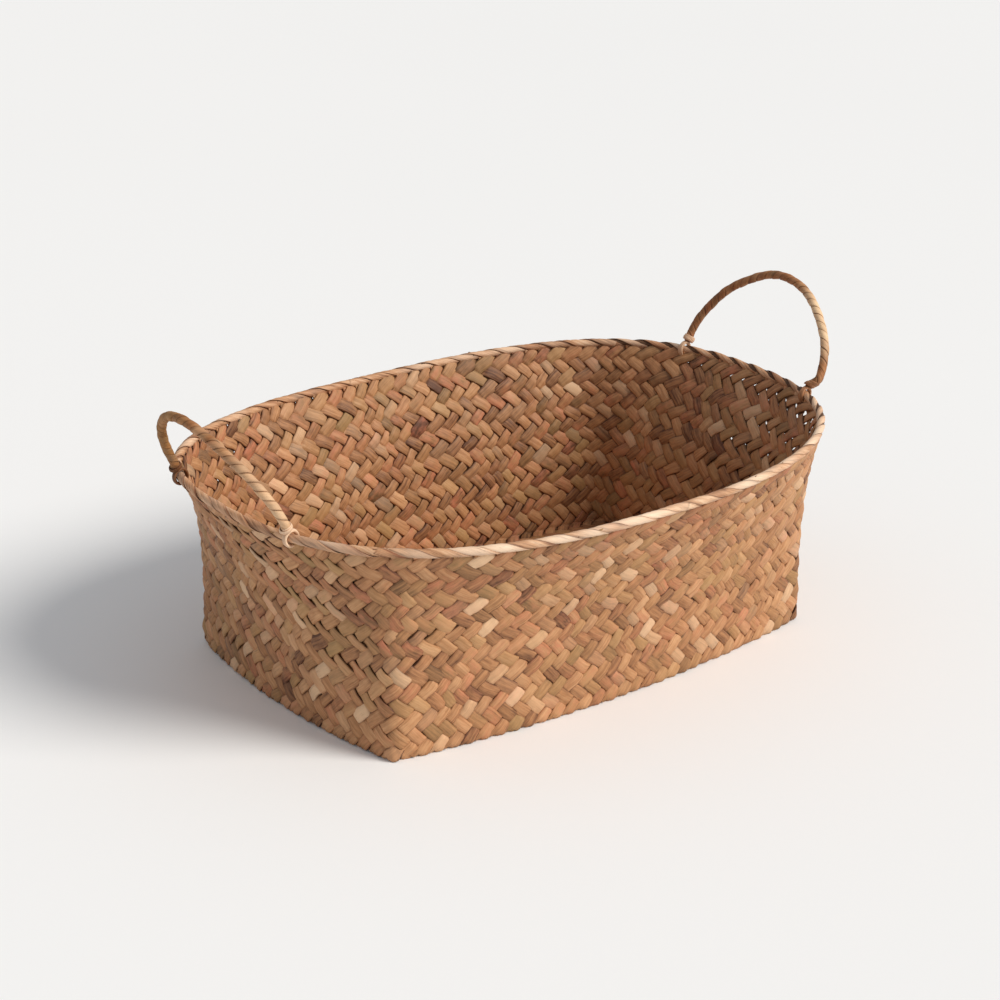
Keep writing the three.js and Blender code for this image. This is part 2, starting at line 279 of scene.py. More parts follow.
def wall_normal(s, t):
    along = wall(s + 0.2, t) - wall(s - 0.2, t)
    up = wall(s, np.maximum(t, 0.02) + 0.01) - wall(s, np.maximum(t, 0.02) - 0.01)
    return unit(np.cross(along, up))


def floor_point(p, q):
    f = -1 + 2 * p / LONG_STEPS
    g = -1 + 2 * q / SHORT_STEPS
    x = BASE_HALF_LENGTH * f + SHORT_EDGE_BULGE * (1 - g * g) * f
    y = BASE_HALF_WIDTH * g + LONG_EDGE_BULGE * (1 - f * f) * g
    return np.stack([x, y, np.full_like(x, FABRIC_MIDDLE)], -1)


# ---------------------------------------------------------------- materials
def node(tree, kind, **settings):
    made = tree.nodes.new(kind)
    for key, value in settings.items():
        setattr(made, key, value)
    return made


def math_node(tree, operation, a, b=None, c=None, clamp=False):
    made = node(tree, "ShaderNodeMath", operation=operation, use_clamp=clamp)
    for index, value in enumerate((a, b, c)):
        if value is None:
            continue
        if isinstance(value, (int, float)):
            made.inputs[index].default_value = value
        else:
            tree.links.new(value, made.inputs[index])
    return made.outputs[0]


def mix_colour(tree, factor, a, b, blend="MIX"):
    made = node(tree, "ShaderNodeMix", data_type="RGBA", blend_type=blend)
    made.clamp_factor = True
    for socket, value in ((made.inputs[0], factor), (made.inputs[6], a), (made.inputs[7], b)):
        if isinstance(value, (int, float)):
            socket.default_value = value
        elif isinstance(value, tuple):
            socket.default_value = (*value, 1.0)
        else:
            tree.links.new(value, socket)
    return made.outputs[2]


def srgb(r, g, b):
    def channel(v):
        v /= 255.0
        return v / 12.92 if v <= 0.04045 else ((v + 0.055) / 1.055) ** 2.4

    return (channel(r), channel(g), channel(b))


def leaf_material(name, dark, middle, light, pale, rust, olive, streak=1.0, bump=0.35):
    """Dried flat leaf, coloured from two mesh attributes.

    fibre is (along, across, strip) and leaf is (tone, rust, pale, olive).
    """
    material = bpy.data.materials.new(name)
    material.use_nodes = True
    tree = material.node_tree
    tree.nodes.clear()
    out = node(tree, "ShaderNodeOutputMaterial")
    shader = node(tree, "ShaderNodeBsdfPrincipled")
    tree.links.new(shader.outputs[0], out.inputs[0])

    fibre = node(tree, "ShaderNodeAttribute", attribute_name="fibre")
    leaf = node(tree, "ShaderNodeAttribute", attribute_name="leaf")
    split = node(tree, "ShaderNodeSeparateColor")
    tree.links.new(leaf.outputs["Color"], split.inputs[0])
    tone, rusty, paleness = split.outputs[0], split.outputs[1], split.outputs[2]
    green = leaf.outputs["Alpha"]

    def stretched(scale, detail, rough=0.6):
        scaled = node(tree, "ShaderNodeVectorMath", operation="MULTIPLY")
        scaled.inputs[1].default_value = scale
        tree.links.new(fibre.outputs["Vector"], scaled.inputs[0])
        noise = node(tree, "ShaderNodeTexNoise")
        noise.inputs["Scale"].default_value = 1.0
        noise.inputs["Detail"].default_value = detail
        noise.inputs["Roughness"].default_value = rough
        tree.links.new(scaled.outputs[0], noise.inputs["Vector"])
        return noise.outputs["Fac"]

    fine = stretched((0.08, 1.35, 7.31), 4.0, 0.7)
    broad = stretched((0.05, 0.62, 3.77), 2.0)
    blotch = stretched((0.16, 0.30, 5.13), 3.0)

    # overall tone from the tone attribute, which holds the strip's own tone and also painted
    # shade and highlight, with streaks along the fibre
    def centred(noise):
        return math_node(tree, "SUBTRACT", noise, 0.5)

    shade = math_node(tree, "MULTIPLY_ADD", centred(fine), 1.1 * streak, tone)
    shade = math_node(tree, "MULTIPLY_ADD", centred(broad), 0.70 * streak, shade)
    shade = math_node(tree, "MULTIPLY_ADD", centred(blotch), 0.35, shade, True)
    ramp = node(tree, "ShaderNodeValToRGB")
    ramp.color_ramp.elements[0].position = 0.0
    ramp.color_ramp.elements[0].color = (*dark, 1)
    ramp.color_ramp.elements[1].position = 1.0
    ramp.color_ramp.elements[1].color = (*light, 1)
    ramp.color_ramp.elements.new(0.5).color = (*middle, 1)
    tree.links.new(shade, ramp.inputs[0])

    # rust comes in patches, olive over whole floats, cream over the palest strips
    patch = math_node(tree, "MULTIPLY_ADD", blotch, 2.6, -0.95, True)
    colour = mix_colour(tree, math_node(tree, "MULTIPLY", rusty, patch), ramp.outputs[0], rust)
    colour = mix_colour(tree, green, colour, olive)
    colour = mix_colour(tree, paleness, colour, pale)
    # thin dark fibres and the odd vein
    vein = math_node(tree, "MULTIPLY_ADD", fine, 6.0, -3.5, True)
    vein = math_node(tree, "MULTIPLY", vein, 0.6 * streak)
    colour = mix_colour(tree, vein, colour, dark)
    tree.links.new(colour, shader.inputs["Base Color"])

    rough = math_node(tree, "MULTIPLY_ADD", broad, -0.22, 0.72)
    tree.links.new(rough, shader.inputs["Roughness"])
    shader.inputs["Specular IOR Level"].default_value = 0.38

    relief = node(tree, "ShaderNodeBump")
    relief.inputs["Strength"].default_value = bump
    relief.inputs["Distance"].default_value = 0.0006
    height = math_node(tree, "MULTIPLY_ADD", broad, 0.8, fine)
    tree.links.new(height, relief.inputs["Height"])
    tree.links.new(relief.outputs[0], shader.inputs["Normal"])
    return material


PLAIT_LEAF = leaf_material(
    "plaited_leaf_look",
    dark=srgb(92, 56, 36), middle=srgb(176, 124, 82), light=srgb(218, 168, 122),
    pale=srgb(240, 204, 164), rust=srgb(200, 122, 90), olive=srgb(172, 140, 90),
)
RIM_LEAF = leaf_material(
    "rim_leaf_look",
    dark=srgb(116, 72, 46), middle=srgb(200, 150, 110), light=srgb(242, 204, 166),
    pale=srgb(253, 228, 200), rust=srgb(186, 120, 84), olive=srgb(186, 150, 98),
    streak=1.5, bump=0.35,
)
CORD_LEAF = leaf_material(
    "handle_leaf_look",
    dark=srgb(92, 52, 30), middle=srgb(168, 110, 68), light=srgb(214, 160, 110),
    pale=srgb(242, 206, 164), rust=srgb(154, 88, 48), olive=srgb(160, 122, 70), bump=0.45,
)
# the core's very dark colour is partly its own fibre and partly painted shade seen through the
# gaps between the rim wraps
CORE_FIBRE_AND_GAP_SHADE = leaf_material(
    "rim_core_and_gap_shade_look",
    dark=srgb(52, 32, 20), middle=srgb(92, 60, 38), light=srgb(132, 92, 60),
    pale=srgb(160, 120, 80), rust=srgb(110, 60, 30), olive=srgb(96, 78, 44), bump=0.6,
)


# ---------------------------------------------------------------- the plaited strips
def strip_paths():
    """Each strip: family, floor start and end, then wall step and direction for both ends."""
    paths = []
    for i in range(LONG_STEPS + SHORT_STEPS):
        c = i + 0.5                       # p + q = c
        if c < LONG_STEPS:
            a, ua, sa = (c, 0.0), c, 1
        else:
            a, ua, sa = (LONG_STEPS, c - LONG_STEPS), c, -1
        if c < SHORT_STEPS:
            b, ub, sb = (0.0, c), STEPS - c, -1
        else:
            b = (c - SHORT_STEPS, SHORT_STEPS)
            ub, sb = 2 * LONG_STEPS + SHORT_STEPS - b[0], 1
        paths.append((0, a, b, ua, sa, ub, sb))
    for i in range(LONG_STEPS + SHORT_STEPS):
        c = i + 0.5 - SHORT_STEPS         # p - q = c
        if c > 0:
            a, ua, sa = (c, 0.0), c, -1
        else:
            a, ua, sa = (0.0, -c), STEPS + c, 1
        if c < LONG_STEPS - SHORT_STEPS:
            b = (c + SHORT_STEPS, SHORT_STEPS)
            ub, sb = 2 * LONG_STEPS + SHORT_STEPS - b[0], -1
        else:
            b = (LONG_STEPS, LONG_STEPS - c)
            ub, sb = LONG_STEPS + b[1], 1
        paths.append((1, a, b, ua, sa, ub, sb))
    return paths


PER_CROSSING = 5


def plait_point(s, level):
    """Where a crossing really lies: hand plaiting wanders a little off the even lattice."""
    f = np.clip(level / LEVELS, 0, 1)
    t = f * (1 + LEVEL_CROWDING * (1 - f))
    turn = 2 * math.pi * s / STEPS
    free = smooth(4 * f)
    drift = 0.26 * np.sin(9 * turn + 5 * f) + 0.18 * np.sin(17 * turn - 7 * f + 1.0)
    rise = 0.010 * np.sin(6 * turn + 4 * f) + 0.006 * np.sin(13 * turn + 2.0)
    return s + drift * free, t + rise * 4 * f * (1 - f)


def strip_surface(path, lam, count):
    """Position and outward normal along a strip; lam counts crossings from its first end."""
    _, a, b, ua, sa, ub, sb = path
    h1 = (LEVELS - lam) / 2
    h2 = (lam - LEVELS - count) / 2
    f = np.clip((lam - LEVELS) / count, 0, 1)
    on1 = lam < LEVELS
    on2 = lam > LEVELS + count
    s1, t1 = plait_point(ua + sa * h1, np.where(on1, 2 * h1, 0.0))
    s2, t2 = plait_point(ub + sb * h2, np.where(on2, 2 * h2, 0.0))
    w1 = wall(s1, t1)
    w2 = wall(s2, t2)
    fl = floor_point(a[0] + (b[0] - a[0]) * f, a[1] + (b[1] - a[1]) * f)
    p = np.where(on1[:, None], w1, np.where(on2[:, None], w2, fl))
    n1 = wall_normal(s1, t1)
    n2 = wall_normal(s2, t2)
    down = np.zeros_like(p)
    down[:, 2] = -1
    n = np.where(on1[:, None], n1, np.where(on2[:, None], n2, down))
    return p, n


def ease(values, passes):
    """Smooths values along a strip, leaving the ends."""
    for _ in range(passes):
        inner = (values[:-2] + 2 * values[1:-1] + values[2:]) / 4
        values = np.concatenate([values[:1], inner, values[-1:]])
    return values


def crossing_signs(path, count):
    """+1 where the strip is on the outside of the fabric, -1 where it is inside."""
    family, a, b, _, sa, _, sb = path
    total = LEVELS + count + LEVELS + 1
    signs = np.zeros(total)
    for m in range(total):
        if m <= LEVELS:
            k, rising = LEVELS - m, sa > 0
        elif m >= LEVELS + count:
            k, rising = m - LEVELS - count, sb > 0
        else:
            f = (m - LEVELS) / count
            k = -int(round(2 * (a[1] + (b[1] - a[1]) * f)))
            rising = family == 0
        outside = k % 4 in (0, 1)
        signs[m] = 1 if outside == rising else -1
    return signs


def wander(n, low, high, every):
    """Slow random walk between low and high, one value per crossing."""
    knots = RNG.uniform(low, high, n // every + 3)
    x = np.arange(n) / every
    i = x.astype(int)
    f = smooth(x - i)
    return knots[i] * (1 - f) + knots[i + 1] * f


SECTION = np.array([-1.0, -0.78, -0.3, 0.3, 0.78, 1.0, 0.78, 0.3, -0.3, -0.78])
FACE = np.array([0, 1, 1, 1, 1, 0, -1, -1, -1, -1])


def bend_round_edge(points, edge_step):
    """Strips cross the base edge at a slant and crease along it; returns points and normals."""
    edge = wall(np.array([edge_step]), np.zeros(1))[0]
    out = wall_normal(np.array([edge_step]), np.zeros(1))[0]
    out[2] = 0.0
    out = unit(out)
    depth = -((points - edge) @ out)
    drop = edge[2] - points[..., 2]
    points = points - (np.maximum(-depth, 0) + 0.3 * np.maximum(drop, 0))[..., None] * out
    points[..., 2] += np.maximum(drop, 0) + 0.3 * np.maximum(-depth, 0)
    on_wall = np.clip(-drop / EDGE_BEND, 0, 1)[..., None]
    on_floor = np.clip(depth / EDGE_BEND, 0, 1)[..., None]
    down = np.array([0.0, 0.0, -1.0])
    return points, unit((1.01 - on_floor) * out + (1.01 - on_wall) * down)


def add_strip(batch, path, identity):
    """One strip: down a wall from the rim, across the floor and up another wall."""
    count = int(round(2 * abs(path[2][1] - path[1][1])))
    total = LEVELS + count + LEVELS
    lam = np.linspace(0, total, total * PER_CROSSING + 1)
    p, n = strip_surface(path, lam, count)
    # local spacing of neighbouring strips gives the width
    step = np.linalg.norm(np.diff(p, axis=0), axis=1)
    step = np.concatenate([step, step[-1:]]) * PER_CROSSING
    p = ease(p, 1)
    n = unit(ease(n, 2))
    tangent = unit(np.gradient(p, axis=0))
    across = unit(np.cross(n, tangent))
    n = np.cross(tangent, across)

    signs = crossing_signs(path, count)
    m = np.arange(total + 1)
    height = FLOAT_HEIGHT * RNG.uniform(0.75, 1.25, total + 1)
    height = height * np.where((m > LEVELS) & (m < LEVELS + count), FLOOR_FLATNESS, 1.0)
    level = signs * height
    # offsets between crossings change quickly, midway
    i = np.clip(np.floor(lam).astype(int), 0, total - 1)
    f = lam - i
    mix = smooth((f - 0.5) / CROSSOVER + 0.5)
    lift = level[i] * (1 - mix) + level[i + 1] * mix
    same = signs[i] == signs[i + 1]
    bulge = np.where(same, FLOAT_BULGE * np.sin(math.pi * f), 0.0) * signs[i]
    lift = lift + bulge
    # +1 on the outside of the fabric, -1 inside
    turn = np.clip(lift / FULL_TURN, -1, 1)

    def spread(values):
        return values[i] * (1 - f) + values[i + 1] * f

    on_wall = (lam < LEVELS) | (lam > LEVELS + count)
    base_width = np.where(on_wall, 0.5 * (step + STRIP_SPACING), step)
    base_width = ease(base_width, 6)
    trait = RNG.uniform(0.94, 1.07)
    width = base_width * trait * spread(RNG.uniform(0.90, 1.10, total + 1)) * STRIP_FULLNESS
    # the ends are folded narrow where they run into the roll
    from_rim = np.minimum(lam, total - lam)
    width = width * (0.3 + 0.7 * smooth(from_rim / 0.35))
    width = width * (1 + 0.08 * smooth(2.5 - from_rim))
    # the plait is open just under the rim at the right-hand end
    open_end = smooth((p[:, 0] - OPEN_END_X) / 30.0)
    openness = 0.05 * smooth((p[:, 2] - 50.0) / 30.0) + 0.24 * smooth((p[:, 2] - 96.0) / 5.0)
    width = width * (1 - open_end * openness)
    side = spread(RNG.normal(0, 0.22, total + 1))
    roll = STRIP_TILT + spread(RNG.normal(0, 0.06, total + 1))
    thick = STRIP_THICKNESS / 2 * spread(RNG.uniform(0.85, 1.15, total + 1))

    half = (width / 2)[:, None]
    x = SECTION[None] * half
    camber = FLOAT_CAMBER * turn[:, None] * (0.55 - SECTION[None] ** 2)
    face = FACE[None] * thick[:, None] * (1 - 0.45 * SECTION[None] ** 4)
    z = lift[:, None] + camber + face + roll[:, None] * x
    flat = p[:, None] + (x + side[:, None])[..., None] * across[:, None]
    normal = np.repeat(n[:, None], len(SECTION), axis=1)
    for fold, edge_step in ((LEVELS, path[3]), (LEVELS + count, path[5])):
        near = np.abs(lam - fold) < 2.0
        flat[near], normal[near] = bend_round_edge(flat[near], edge_step)
    rings = flat + z[..., None] * normal
    along = np.concatenate([[0], np.cumsum(np.linalg.norm(np.diff(p, axis=0), axis=1))])
    fibre = np.stack(np.broadcast_arrays(along[:, None], x, float(identity)), -1)

    tone = 0.51 + RNG.normal(0, 0.07)
    tone = tone + wander(total + 1, -0.11, 0.11, 6) + RNG.normal(0, 0.10, total + 1)
    rusty = np.clip(wander(total + 1, -0.5, 0.75, 5) + RNG.normal(0, 0.24, total + 1), 0, 1)
    cream = RNG.choice([0.0, 0.08, 0.45], p=[0.8, 0.16, 0.04]) + wander(total + 1, -0.3, 0.15, 9)
    cream = np.clip(cream + (RNG.random(total + 1) < 0.02) * 0.6, 0, 0.8)
    olive = np.clip(wander(total + 1, -0.40, 0.42, 8) + RNG.normal(0, 0.10, total + 1), 0, 0.6)

    def per_float(values):
        # one value per float: both crossings of a float share it
        shared = values.copy()
        for k in range(1, len(shared)):
            if signs[k] == signs[k - 1]:
                shared[k] = shared[k - 1]
        j = np.where(f > 0.5, i + 1, i)
        return shared[j]

    olive = olive * (1 - np.minimum(1, 2 * cream))
    leaf = np.stack([per_float(v) for v in (tone, rusty, cream, olive)], -1)
    leaf = np.broadcast_to(leaf[:, None], (len(lam), len(SECTION), 4)).copy()
    # painted shade: the creased edges and the tucked ends of each float are darkened and made
    # less pale, standing in for the shade in the gaps between floats
    painted_gap_shade = 0.42 * SECTION[None] ** 8 + 0.42 * (1 - np.abs(turn[:, None])) ** 1.5
    # painted shade: leaf turned to the inside is darkened and made less pale, standing in for the
    # shade inside the basket
    inner = np.clip(-turn, 0, 1)[:, None]
    leaf[..., 0] -= painted_gap_shade + INNER_SIDE_SHADE * inner
    leaf[..., 2] *= 1 - painted_gap_shade - 0.3 * inner
    batch.add_tube(rings, fibre, leaf)


def build_plait():
    paths = strip_paths()
    for g in range(STRIP_GROUPS):
        batch = Batch()
        first, after = (len(paths) * k // STRIP_GROUPS for k in (g, g + 1))
        for index in range(first, after):
            add_strip(batch, paths[index], index)
        piece = batch.build(f"plait_strips_{g + 1:02d}", PLAIT_LEAF)
        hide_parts("woven_shell")
        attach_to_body(piece, "basket")


# ---------------------------------------------------------------- the rim
def roll_frame(s):
    """Centre line of the roll with its outward and upward directions."""
    centre = wall(s, np.ones_like(s))
    tangent = unit(wall(s + 0.1, np.ones_like(s)) - wall(s - 0.1, np.ones_like(s)))
    normal = wall_normal(s, np.ones_like(s))
    up = unit(np.cross(normal, tangent))
    up = np.where(up[:, 2:3] < 0, -up, up)
    return centre, normal, up


def roll_point(s, angle, radius):
    """Points round the roll: angle 0 faces outward, a quarter turn up faces up."""
    centre, normal, up = roll_frame(s.ravel())
    angle, radius = angle.ravel()[:, None], radius.ravel()[:, None]
    points = centre + radius * (np.cos(angle) * normal + np.sin(angle) * up)
    return points.reshape(*s.shape, 3)


def build_rim_core():
    """The bundle of turned-down strip ends inside the wrapping; its dark colour is partly the
    fibre's own and partly painted shade for the gaps between the wraps.
    """
    sides = 10
    s, angle = np.meshgrid(
        np.linspace(0, STEPS, 401)[:-1], 2 * math.pi * np.arange(sides) / sides, indexing="ij"
    )
    rings = roll_point(s, angle, CORE_RADIUS + CORE_LUMPS * np.sin(7 * s) * np.cos(angle))
    fibre = np.stack(np.broadcast_arrays(s * STEP_LENGTH, angle * 1.7, 3.0), -1)
    leaf = np.broadcast_to(np.array([0.45, 0.2, 0.0, 0.1]), (*s.shape, 4))
    batch = Batch()
    batch.add_tube(rings, fibre, leaf, closed=True)
    core = batch.build("rim_core_bundle", CORE_FIBRE_AND_GAP_SHADE)
    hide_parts("rim_core_hoop")
    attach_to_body(core, "basket")


def add_ribbon(batch, start, end, phase, identity):
    """One leaf wound round the roll from step start to step end."""
    per_step = 7
    n = int((end - start) * per_step) + 1
    s = np.linspace(start, end, n)
    knots = np.linspace(start, end, 12)

    def varied(low, high):
        return np.interp(s, knots, RNG.uniform(low, high, len(knots)))

    angle = -2 * math.pi * RIBBON_TURNS * s / STEPS + phase
    cx, _ = rim_point(s)
    # the far right end is wrapped more openly
    openness = smooth((cx / RIM_HALF_LENGTH - 0.72) / 0.16)
    half = (RIBBON_HALF_WIDTH + varied(-0.3, 0.25)) * (1 - 0.40 * openness)
    offset = SECTION[None] * half[:, None]
    shingle = 0.24 * SECTION[None] - 0.16 * SECTION[None] ** 2
    face = FACE[None] * RIBBON_HALF_THICKNESS * (1 - 0.4 * SECTION[None] ** 2)
    radius = RIBBON_RADIUS + varied(-0.12, 0.16)[:, None] + shingle + face
    along = s[:, None] + offset * math.sin(RIBBON_ANGLE) / STEP_LENGTH
    around = angle[:, None] + offset * math.cos(RIBBON_ANGLE) / RIBBON_RADIUS
    rings = roll_point(along, around, radius)
    along_leaf = (s * STEP_LENGTH)[:, None] / math.cos(RIBBON_ANGLE)
    fibre = np.stack(np.broadcast_arrays(along_leaf, offset, identity), -1)
    _, cy = rim_point(s)
    # painted highlight: the front of the rim, away from its left end, is made lighter and paler,
    # standing in for the key light falling there
    front = smooth((-cy - 30.0) / 60.0) * smooth((cx + 150.0) / 70.0)
    tone = 0.46 + 0.08 * front + varied(-0.24, 0.22)
    rusty = np.clip(varied(-0.3, 0.6), 0, 1)
    cream = np.clip(varied(-0.35, 0.45) + 0.3 * front, 0, 1)
    leaf = np.stack([tone, rusty, cream, np.zeros_like(tone)], -1)
    leaf = np.broadcast_to(leaf[:, None], (*fibre.shape[:2], 4)).copy()
    # painted shade: each ribbon's edges are darkened and made less pale, standing in for the
    # shade in the gaps between wraps
    leaf[..., 0] -= 0.4 * SECTION[None] ** 6
    leaf[..., 2] *= 1 - 0.7 * SECTION[None] ** 6
    batch.add_tube(rings, fibre, leaf)


def build_rim():
    build_rim_core()
    for length in range(RIBBON_LENGTHS):
        batch = Batch()
        for ribbon in range(RIBBON_STARTS):
            start = STEPS * length / RIBBON_LENGTHS - 0.4 + 0.3 * ribbon
            end = STEPS * (length + 1) / RIBBON_LENGTHS + 0.1 + 0.3 * ribbon
            phase = 2 * math.pi * ribbon / RIBBON_STARTS
            add_ribbon(batch, start, end, phase, 40.0 + 3 * length + ribbon)
        piece = batch.build(f"rim_wrapping_{length + 1}", RIM_LEAF)
        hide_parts(f"rim_wrap_{length + 1}")
        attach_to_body(piece, "basket")


# ---------------------------------------------------------------- handles
def arch_point(arch, r, side):
    """Across the handle at distance r from the hinge line; each leg curls in to its foot."""
    top = ARCH_BASE + arch["height"]
    f = np.clip((r - ARCH_BASE) / arch["height"], 0, 1)
    curl = smooth((CURL_TOP - r) / (CURL_TOP - CURL_END))
    reach = arch["half_width"] * np.clip(1 - f ** ARCH_POWER, 0, None) ** (1 / ARCH_POWER)
    leg = side * reach + arch["sway"] * arch["end"] * (1 - (r / top) ** 2)
    return leg + (side * FOOT_Y - leg) * curl


def arch_line(arch, start, count):
    """Evenly spaced points from foot to foot, with the length up to each."""
    rise = ARCH_BASE + arch["height"] - start
    r = start + rise * np.sin(np.linspace(0, math.pi / 2, 500))
    legs = [np.stack([arch_point(arch, r, side), r], -1) for side in (1, -1)]
    points = np.concatenate([legs[0], legs[1][-2::-1]])
    length = np.concatenate([[0], np.cumsum(np.linalg.norm(np.diff(points, axis=0), axis=1))])
    want = np.linspace(0, length[-1], count)
    line = [np.interp(want, length, points[:, axis]) for axis in (0, 1)]
    return np.stack(line, -1), want


def place(arch, y, r, offset):
    """From the handle's own plane to the basket, leaning outward about the hinge line."""
    x = FOOT_X + r * math.sin(arch["lean"]) + offset * math.cos(arch["lean"])
    z = FOOT_Z + r * math.cos(arch["lean"]) - offset * math.sin(arch["lean"])
    out = np.stack(np.broadcast_arrays(x, y, z), -1)
    return out * np.array([arch["end"], arch["end"], 1.0])


def attach(piece, label, node_name):
    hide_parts(f"{label}_handle_{node_name}")
    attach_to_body(piece, f"{label}_handle")


def build_cord(label, arch):
    """Two leaf plies twisted together along the handle's arch."""
    end = arch["end"]
    count = 320
    line, want = arch_line(arch, CORD_START, count)
    tangent = unit(np.gradient(line, axis=0))
    normal = np.stack([tangent[:, 1], -tangent[:, 0]], -1)
    # the cord wanders a little, except near its feet
    free = smooth((np.minimum(want, want[-1] - want) - 5.0) / 14.0)
    wobble_y = free * CORD_WANDER * (np.sin(want / 11.0 + end) + 0.5 * np.sin(want / 4.7))
    wobble_o = free * CORD_WANDER * np.sin(want / 13.0 + 2 * end)
    turn = 2 * math.pi * want / TWIST_PITCH + 0.35 * np.sin(want / 19.0 + end)
    for ply, phase in (("a", 0.0), ("b", math.pi)):
        # a leaf ply fills half of the cord: round outside, flat against its neighbour
        a = np.linspace(-1, 1, 12)
        outer_angle = a * math.radians(87)
        outer_radius = CORD_RADIUS * (1 - 0.055 * np.abs(a) ** 6)
        flat = np.linspace(1, -1, 8)[1:-1]
        pts_x = np.concatenate([outer_radius * np.cos(outer_angle), np.full(len(flat), 0.08)])
        pts_y = np.concatenate([outer_radius * np.sin(outer_angle), flat * 1.8])
        swell = 0.045 * np.sin(want / 3.1 + phase) + 0.035 * np.sin(want / 1.7 + 2 * phase)
        girth = 0.97 + free * (0.03 + swell)
        c, s = np.cos(turn + phase), np.sin(turn + phase)
        c, s, girth = c[:, None], s[:, None], girth[:, None]
        in_plane = (pts_x * c - pts_y * s) * girth + wobble_y[:, None]
        off = (pts_x * s + pts_y * c) * girth + wobble_o[:, None]
        yy = line[:, 0:1] + normal[:, 0:1] * in_plane
        rr = line[:, 1:2] + normal[:, 1:2] * in_plane
        rings = place(arch, yy, rr, off)
        arc = np.linspace(0, 7, len(pts_x))
        leaf_id = 60 + 3 * end + phase
        fibre = np.stack(np.broadcast_arrays(want[:, None] * 1.1, arc[None], leaf_id), -1)
        knots = np.arange(0, want[-1] + 6.0, 4.0)
        share = want / want[-1]

        def patchy(low, high):
            return np.interp(want, knots, RNG.uniform(low, high, len(knots)))

        tone = 0.5 + patchy(-0.26, 0.2)
        rusty = patchy(-0.3, 0.8)
        cream = patchy(-0.15, 0.15)
        olive = patchy(-0.1, 0.25)
        if end > 0:
            # reddish from the rear foot over the top, palest on the upper front leg
            rusty += 0.5 * smooth((0.55 - share) / 0.2)
            tone -= 0.10 * smooth((0.6 - share) / 0.2)
            cream += 0.85 * smooth(1.3 - np.abs(share - 0.74) / 0.15)
        else:
            # palest at the front foot, olive brown towards the rear one
            cream += 0.60 * smooth(1 - share / 0.55)
            tone -= 0.16 * smooth((share - 0.5) / 0.25)
            olive += 0.35 * smooth((share - 0.4) / 0.25)
        leaf = np.clip(np.stack([tone, rusty, cream, olive], -1), 0, 1)
        leaf = np.broadcast_to(leaf[:, None], (*fibre.shape[:2], 4)).copy()
        # painted shade: the groove between the plies is darkened and made less pale
        painted_groove_shade = np.concatenate([np.abs(a) ** 8, np.ones(len(flat))])
        depth = 0.16 + patchy(-0.12, 0.2)
        leaf[..., 0] -= depth[:, None] * painted_groove_shade[None]
        leaf[..., 2] *= 1 - 0.6 * painted_groove_shade[None]
        batch = Batch()
        batch.add_tube(rings, fibre, leaf)
        attach(batch.build(f"{label}_cord_{ply}", CORD_LEAF), label, f"ply_{ply}")


# at each foot: the leaf attribute (tone, rust, pale, olive), and the material
FOOT_TONE = {
    ("left", "front"): (0.62, 0.1, 0.35, 0.0),
    ("left", "rear"): (0.02, 0.2, 0.0, 0.1),
    ("right", "front"): (0.42, 0.4, 0.1, 0.0),
    ("right", "rear"): (0.52, 0.3, 0.2, 0.0),
}

FOOT_LOOK = {
    ("left", "front"): RIM_LEAF,
    ("left", "rear"): CORD_LEAF,
    ("right", "front"): CORD_LEAF,
    ("right", "rear"): RIM_LEAF,
}


def build_eye(label, arch, side, where):
    """Leaf eye: a flat band of cord end taken round the roll."""
    end = arch["end"]
    angle = (2 * math.pi * np.arange(48) / 48)[:, None]
    section = (2 * math.pi * np.arange(10) / 10)[None]
    radius = EYE_RADIUS + EYE_THICKNESS / 2 * np.cos(section) + 0.08 * np.sin(2 * angle)
    across = EYE_WIDTH / 2 * np.sin(section) * (1 + 0.1 * np.sin(3 * angle))
    x = FOOT_X + radius * np.sin(angle)
    z = FOOT_Z + radius * np.cos(angle)
    y = side * end * FOOT_Y + across + 0.5 * np.sin(angle)
    rings = np.stack([x, y, z], -1) * np.array([end, end, 1.0])
    fibre = np.stack(np.broadcast_arrays(angle * 4, across, 80.0 + side), -1)
    leaf = np.broadcast_to(np.array(FOOT_TONE[label, where]), (*fibre.shape[:2], 4))
    batch = Batch()
    batch.add_tube(rings, fibre, leaf, closed=True)
    eye = batch.build(f"{label}_{where}_eye", FOOT_LOOK[label, where])
    attach(eye, label, f"{where}_loop")


def build_binding(label, arch, side, where):
    """A narrow leaf wound in a knot round the cord's foot, sitting on the roll."""
    theta = np.linspace(0, 2 * math.pi * BINDING_TURNS, 90)
    share = theta / theta[-1]
    radius = BINDING_RADIUS + BINDING_SWELL * np.sin(math.pi * share)
    x_sec = SECTION[None] * BINDING_HALF_WIDTH
    face = FACE[None] * BINDING_HALF_THICKNESS * (1 - 0.4 * SECTION[None] ** 2)
    rad = radius[:, None] + face
    r_line = BINDING_START + BINDING_RISE * share[:, None] + x_sec
    y_line = arch_point(arch, r_line, side * arch["end"])
    yy = y_line + rad * np.cos(theta)[:, None]
    rings = place(arch, yy, r_line, rad * np.sin(theta)[:, None])
    fibre = np.stack(np.broadcast_arrays((theta * 2.9)[:, None], x_sec, 90.0 + side), -1)
    leaf = np.broadcast_to(np.array(FOOT_TONE[label, where]), (*fibre.shape[:2], 4))
    batch = Batch()
    batch.add_tube(rings, fibre, leaf)
    binding = batch.build(f"{label}_{where}_binding", FOOT_LOOK[label, where])
    attach(binding, label, f"{where}_collar")


def build_handle(label):
    arch = ARCHES[label]
    build_cord(label, arch)
    for side, where in ((-1, "front"), (1, "rear")):
        build_eye(label, arch, side, where)
        build_binding(label, arch, side, where)


build_plait()
build_rim()
build_handle("left")
build_handle("right")


